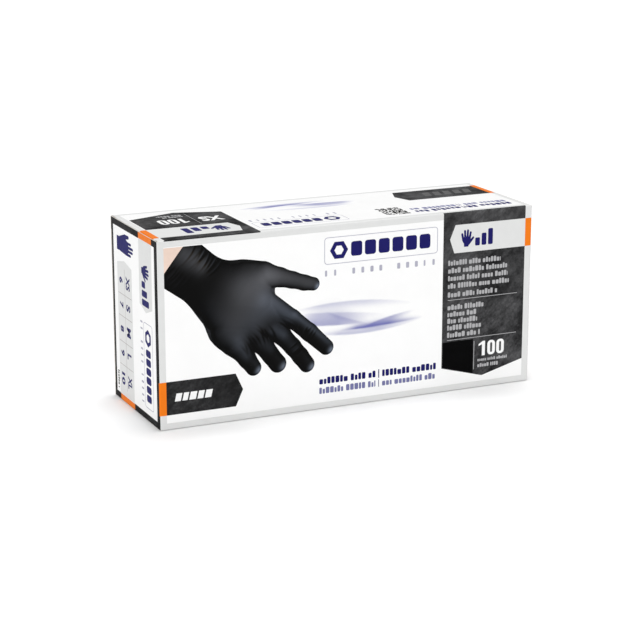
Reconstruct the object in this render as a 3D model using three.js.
// Paperboard dispenser carton for one hundred disposable gloves, in millimetres, +Z up.
// The carton stands on its long narrow panel. +X runs along its length, -Y is the large front panel,
// and +Y is the large back panel with the tear-open dispensing aperture. The origin is the centre of
// the bottom panel's outer face. Every panel of the folded blank is a node of its own, butted to its
// neighbours at the creases, and the gloves stand inside on edge, parallel to the large panels.
import * as THREE from "three";

// ---- driving dimensions -------------------------------------------------------------------------
const LENGTH = 240; // outside, along X
const DEPTH = 78; // outside, along Y
const HEIGHT = 110; // outside, along Z
const BOARD = 0.5; // calliper of the folding boxboard
const DIE_GAP = 0.3; // clearance where one piece of board passes another

const SEAM_WIDTH = 14.5; // glue flap, from the bottom crease to its free edge
const SEAM_END_INSET = 14; // glue flap, shortened at each end so that the tuck tongue passes
const SEAM_TAPER = 6; // slant of the glue flap's ends
const ADHESIVE = 0.15; // thickness of the glue line behind the back panel
const ADHESIVE_WIDTH = 9;

const APERTURE_LENGTH = 126; // dispensing aperture, end to end
const APERTURE_HEIGHT = 44;
const APERTURE_CENTRE_Z = 59;

const TONGUE_LENGTH = 12; // tuck tongue, from the outer face of the end panel to its tip
const TONGUE_END_INSET = 8; // tongue, shorter than the panel at its top and bottom
const TONGUE_RADIUS = 8;
const TONGUE_LEAN = THREE.MathUtils.degToRad(6.5); // folded past square, so that it swings out freely
const TONGUE_ROOT_GAP = 0.15; // between the end panel's inner face and the tongue's root
const END_PANEL_RELIEF = 0.4; // end panel, cut back from the top and bottom outer faces

const DUST_LENGTH = 38; // dust flap, from its crease to its free edge
const DUST_TAPER = 0.72; // slant of the edge beside the end panel's hinge, across per unit length
const DUST_NEAR_INSET = 3.5; // dust flap, from the front outer face at its crease
const DUST_FAR_EDGE = 71.5; // dust flap's other edge, from the front outer face
const DUST_FAR_TAPER = 3;
const DUST_RADIUS = 6;

const GLOVE_LAYERS = 25; // each layer is four gloves pressed flat together
const GLOVE_LENGTH = 232; // cuff to fingertip
const CUFF_WIDTH = 96;
const PALM_WIDTH = 102;
const FINGER_GAP = 1.6; // between neighbouring fingers at their roots
const FINGER_LENGTHS = [62, 77, 82, 76]; // little, ring, middle and index finger
const FINGER_TAPER = 0.84; // width at the tip over width at the root
const FINGER_WIDTH = (PALM_WIDTH - 3 * FINGER_GAP) / 4;
const GLOVE_BOTTOM = 2.2; // lowest edge of the stack above the outer face
const STACK_FRONT = -DEPTH / 2 + BOARD + DIE_GAP; // where the stack starts, behind the front panel
const STACK_BACK = 31.5; // where it ends, leaving room for fingers behind the aperture
const LAYER_PITCH = (STACK_BACK - STACK_FRONT) / GLOVE_LAYERS;
const LAYER_AIR = 0.06; // gap between neighbouring layers
const LAYER_STAGGER = 1.1; // how far a layer lies off the middle of the stack

const ARC_STEPS = 6; // straight segments in a quarter turn

// ---- derived places -----------------------------------------------------------------------------
const FRONT_OUT = -DEPTH / 2;
const FRONT_IN = FRONT_OUT + BOARD;
const BACK_OUT = DEPTH / 2;
const BACK_IN = BACK_OUT - BOARD;
const TOP_IN = HEIGHT - BOARD;
const END_OUT = LENGTH / 2;
const END_IN = END_OUT - BOARD;
const DUST_OUT = END_IN - DIE_GAP; // outer face of the dust flaps, behind the end panel
const DUST_IN = DUST_OUT - BOARD;
const TUCK_CREASE = BACK_IN - DIE_GAP; // outer corner of the crease between end panel and tongue

// ---- materials ----------------------------------------------------------------------------------
const coatedBoard = () => new THREE.MeshStandardMaterial({ color: 0xf4f4f2, roughness: 0.38, metalness: 0 });
const innerBoard = () => new THREE.MeshStandardMaterial({ color: 0xd9d2c4, roughness: 0.85, metalness: 0 });
const driedGlue = () => new THREE.MeshStandardMaterial({ color: 0xe9e4d4, roughness: 0.5, metalness: 0 });
const nitrile = () => new THREE.MeshStandardMaterial({ color: 0x17181b, roughness: 0.5, metalness: 0 });

// ---- shape helpers ------------------------------------------------------------------------------

// A closed outline through corners [a, b, radius]; a corner with a radius is rounded off.
function roundedShape(corners) {
  const shape = new THREE.Shape();
  corners.forEach(([a, b, radius = 0], i) => {
    const corner = new THREE.Vector2(a, b);
    if (radius === 0) {
      if (i === 0) shape.moveTo(a, b);
      else shape.lineTo(a, b);
      return;
    }
    const before = corners[(i + corners.length - 1) % corners.length];
    const after = corners[(i + 1) % corners.length];
    const enter = new THREE.Vector2(before[0], before[1]).sub(corner).setLength(radius).add(corner);
    const leave = new THREE.Vector2(after[0], after[1]).sub(corner).setLength(radius).add(corner);
    if (i === 0) shape.moveTo(enter.x, enter.y);
    else shape.lineTo(enter.x, enter.y);
    shape.quadraticCurveTo(a, b, leave.x, leave.y);
  });
  shape.closePath();
  return shape;
}

// A rectangle from (a0, b0) to (a1, b1).
function rectangle(a0, b0, a1, b1) {
  return roundedShape([[a0, b0], [a1, b0], [a1, b1], [a0, b1]]);
}

// A slot shape with full round ends, traced into a Shape or a Path.
function stadium(outline, centreB, length, height) {
  const radius = height / 2;
  const half = length / 2 - radius;
  outline.moveTo(-half, centreB - radius);
  outline.lineTo(half, centreB - radius);
  outline.absarc(half, centreB, radius, -Math.PI / 2, Math.PI / 2, false);
  outline.lineTo(-half, centreB + radius);
  outline.absarc(-half, centreB, radius, Math.PI / 2, 1.5 * Math.PI, false);
  return outline;
}

// The three ways a sheet lies. Each basis is right-handed: outline a, outline b, extrusion.
const LYING = {
  upright_along_x: [new THREE.Vector3(1, 0, 0), new THREE.Vector3(0, 0, 1), new THREE.Vector3(0, -1, 0)],
  upright_along_y: [new THREE.Vector3(0, 1, 0), new THREE.Vector3(0, 0, 1), new THREE.Vector3(1, 0, 0)],
  flat: [new THREE.Vector3(1, 0, 0), new THREE.Vector3(0, 1, 0), new THREE.Vector3(0, 0, 1)],
};

// A sheet of the given outline that fills the space between two places along its normal.
function sheet(name, shape, lying, from, to, material, steps = ARC_STEPS) {
  const [a, b, normal] = LYING[lying];
  const geometry = new THREE.ExtrudeGeometry(shape, {
    depth: Math.abs(to - from),
    bevelEnabled: false,
    curveSegments: steps,
  });
  geometry.applyMatrix4(new THREE.Matrix4().makeBasis(a, b, normal));
  const backwards = normal.x + normal.y + normal.z < 0;
  const start = backwards ? Math.max(from, to) : Math.min(from, to);
  geometry.translate(
    Math.abs(normal.x) * start,
    Math.abs(normal.y) * start,
    Math.abs(normal.z) * start,
  );
  const mesh = new THREE.Mesh(geometry, material);
  mesh.name = name;
  return mesh;
}

// ---- the sleeve: four long panels and the glued seam --------------------------------------------

function sleeve() {
  const group = new THREE.Group();
  const large = () => rectangle(-END_OUT, 0, END_OUT, HEIGHT);
  const narrow = () => rectangle(-DUST_OUT, FRONT_IN, DUST_OUT, BACK_IN);

  const back = large();
  const aperture = stadium(new THREE.Path(), APERTURE_CENTRE_Z, APERTURE_LENGTH, APERTURE_HEIGHT);
  back.holes.push(aperture);

  group.add(
    sheet("front_panel", large(), "upright_along_x", FRONT_OUT, FRONT_IN, coatedBoard()),
    sheet("back_panel", back, "upright_along_x", BACK_IN, BACK_OUT, coatedBoard(), 2 * ARC_STEPS),
    sheet("top_panel", narrow(), "flat", TOP_IN, HEIGHT, coatedBoard()),
    sheet("bottom_panel", narrow(), "flat", 0, BOARD, coatedBoard()),
    ...seam(),
  );
  return group;
}

// The glue flap turns up from the bottom panel's back crease, and the glue line holds it.
function seam() {
  const half = END_OUT - SEAM_END_INSET;
  const flap = roundedShape([
    [-half, BOARD],
    [half, BOARD],
    [half - SEAM_TAPER, SEAM_WIDTH, 1.5],
    [SEAM_TAPER - half, SEAM_WIDTH, 1.5],
  ]);
  const glueHalf = half - 2 * SEAM_TAPER;
  const glueLow = (SEAM_WIDTH - ADHESIVE_WIDTH) / 2 + BOARD;
  const glue = roundedShape([
    [-glueHalf, glueLow, 2],
    [glueHalf, glueLow, 2],
    [glueHalf, glueLow + ADHESIVE_WIDTH, 2],
    [-glueHalf, glueLow + ADHESIVE_WIDTH, 2],
  ]);
  const flapOut = BACK_IN - ADHESIVE;
  return [
    sheet("glue_flap", flap, "upright_along_x", flapOut - BOARD, flapOut, innerBoard()),
    sheet("seam_adhesive", glue, "upright_along_x", flapOut, BACK_IN, driedGlue()),
  ];
}

// ---- the tear-open flap that fills the aperture, creased along its lower straight edge ----------

function apertureFlap() {
  const shape = stadium(
    new THREE.Shape(),
    APERTURE_CENTRE_Z,
    APERTURE_LENGTH - 2 * DIE_GAP,
    APERTURE_HEIGHT - 2 * DIE_GAP,
  );
  return sheet("aperture_flap", shape, "upright_along_x", BACK_IN, BACK_OUT, coatedBoard(), 2 * ARC_STEPS);
}

// ---- one tuck end: end panel, its tongue, and two dust flaps. side is -1 at the left, 1 at the right

function tuckEnd(side, name) {
  const group = new THREE.Group();
  const endPanel = rectangle(FRONT_IN, END_PANEL_RELIEF, TUCK_CREASE, HEIGHT - END_PANEL_RELIEF);

  // The tongue is drawn square in a group on its crease, and the group leans it inwards.
  const root = -side * (BOARD + TONGUE_ROOT_GAP);
  const tip = -side * TONGUE_LENGTH;
  const low = TONGUE_END_INSET;
  const high = HEIGHT - TONGUE_END_INSET;
  const tongue = roundedShape([
    [root, low],
    [root, high],
    [tip, high, TONGUE_RADIUS],
    [tip, low, TONGUE_RADIUS],
  ]);
  const tuck = new THREE.Group();
  tuck.position.set(side * END_OUT, TUCK_CREASE, 0);
  tuck.rotation.z = side * TONGUE_LEAN;
  tuck.add(sheet(name + "_tuck_tongue", tongue, "upright_along_x", -BOARD, 0, coatedBoard()));

  const crease = FRONT_OUT + DUST_NEAR_INSET;
  const near = crease + DUST_TAPER * DUST_LENGTH;
  const far = FRONT_OUT + DUST_FAR_EDGE;
  const dustFlap = (creaseZ, freeZ) =>
    roundedShape([
      [crease, creaseZ],
      [far, creaseZ],
      [far - DUST_FAR_TAPER, freeZ, DUST_RADIUS],
      [near, freeZ, DUST_RADIUS],
    ]);

  const board = (part, shape, inner, outer, material) =>
    sheet(name + part, shape, "upright_along_y", side * inner, side * outer, material);
  group.add(
    board("_end_panel", endPanel, END_IN, END_OUT, coatedBoard()),
    tuck,
    board("_upper_dust_flap", dustFlap(TOP_IN, HEIGHT - DUST_LENGTH), DUST_IN, DUST_OUT, innerBoard()),
    board("_lower_dust_flap", dustFlap(BOARD, DUST_LENGTH), DUST_IN, DUST_OUT, innerBoard()),
  );
  return group;
}

// ---- the gloves ---------------------------------------------------------------------------------

// A flat glove, thumb folded over the palm: the cuff at a = 0 and the fingers towards +a. heading
// turns it end for end, and the outline stands from low upwards.
function gloveShape(heading, shift, low) {
  const middle = low + PALM_WIDTH / 2;
  const place = (a, b) => new THREE.Vector2(heading * (a - GLOVE_LENGTH / 2) + shift, middle + b);
  const knuckles = GLOVE_LENGTH - Math.max(...FINGER_LENGTHS);
  const points = [
    place(0, -CUFF_WIDTH / 2),
    place(0.36 * GLOVE_LENGTH, -CUFF_WIDTH / 2 + 1.5),
    place(0.55 * GLOVE_LENGTH, -PALM_WIDTH / 2),
  ];
  FINGER_LENGTHS.forEach((length, i) => {
    const rootB = -PALM_WIDTH / 2 + i * (FINGER_WIDTH + FINGER_GAP) + FINGER_WIDTH / 2;
    const radius = (FINGER_WIDTH * FINGER_TAPER) / 2;
    if (i > 0) points.push(place(knuckles, rootB - FINGER_WIDTH / 2));
    for (let step = 0; step <= ARC_STEPS; step++) {
      const turn = (Math.PI * step) / ARC_STEPS - Math.PI / 2;
      const centreA = knuckles + length - radius;
      points.push(place(centreA + radius * Math.cos(turn), rootB + radius * Math.sin(turn)));
    }
    if (i < FINGER_LENGTHS.length - 1) points.push(place(knuckles, rootB + FINGER_WIDTH / 2));
  });
  points.push(
    place(0.55 * GLOVE_LENGTH, PALM_WIDTH / 2),
    place(0.36 * GLOVE_LENGTH, CUFF_WIDTH / 2 - 1.5),
    place(0, CUFF_WIDTH / 2),
  );
  return new THREE.Shape(heading > 0 ? points : points.reverse());
}

// Layers lie cuff to the left and cuff to the right by turns, each a little off the one before.
function gloveStack() {
  const group = new THREE.Group();
  for (let layer = 0; layer < GLOVE_LAYERS; layer++) {
    const heading = layer % 2 === 0 ? 1 : -1;
    const shift = LAYER_STAGGER * Math.sin(2.4 * layer);
    const low = GLOVE_BOTTOM + LAYER_STAGGER * (1 + Math.sin(1.7 * layer));
    const from = STACK_FRONT + layer * LAYER_PITCH;
    const name = "glove_layer_" + String(layer + 1).padStart(2, "0");
    const shape = gloveShape(heading, shift, low);
    group.add(sheet(name, shape, "upright_along_x", from, from + LAYER_PITCH - LAYER_AIR, nitrile()));
  }
  return group;
}

// ---- assembly -----------------------------------------------------------------------------------

const carton = new THREE.Group();
carton.add(sleeve(), apertureFlap(), tuckEnd(-1, "left"), tuckEnd(1, "right"), gloveStack());

export default carton;
